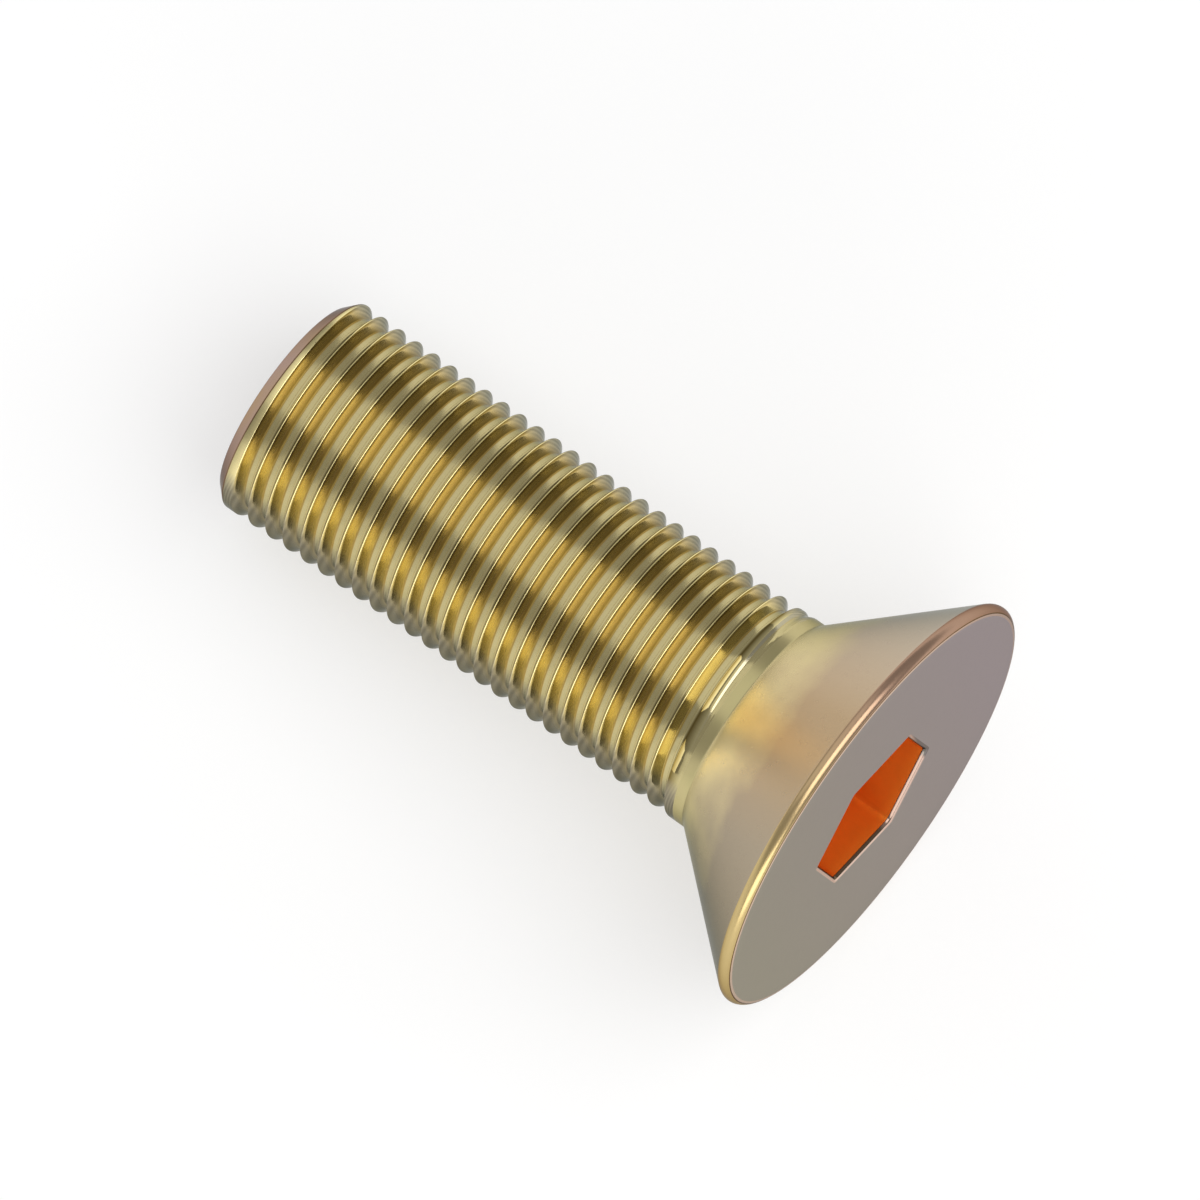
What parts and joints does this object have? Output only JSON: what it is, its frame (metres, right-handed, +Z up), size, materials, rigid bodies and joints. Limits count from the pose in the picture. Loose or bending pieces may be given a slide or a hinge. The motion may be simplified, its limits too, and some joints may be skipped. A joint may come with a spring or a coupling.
{
  "type": "countersunk hex-socket screw",
  "caption": "Countersunk socket screw with a conical head, a hex socket, a short plain neck and a fine thread down to a bevelled tip.",
  "frame": {"origin": "on the floor, below the middle of the lying screw's box", "axes": "+X from the tip to the head, +Z up; the screw's own axis lies in the XZ plane and leans 9.3 degrees down towards the tip"},
  "size_m": [0.0506, 0.031, 0.0306],
  "materials": {
    "plated_steel": "yellow zinc plate, satin"
  },
  "bodies": {
    "root": {"screw": "plated_steel"}
  },
  "joints": []
}
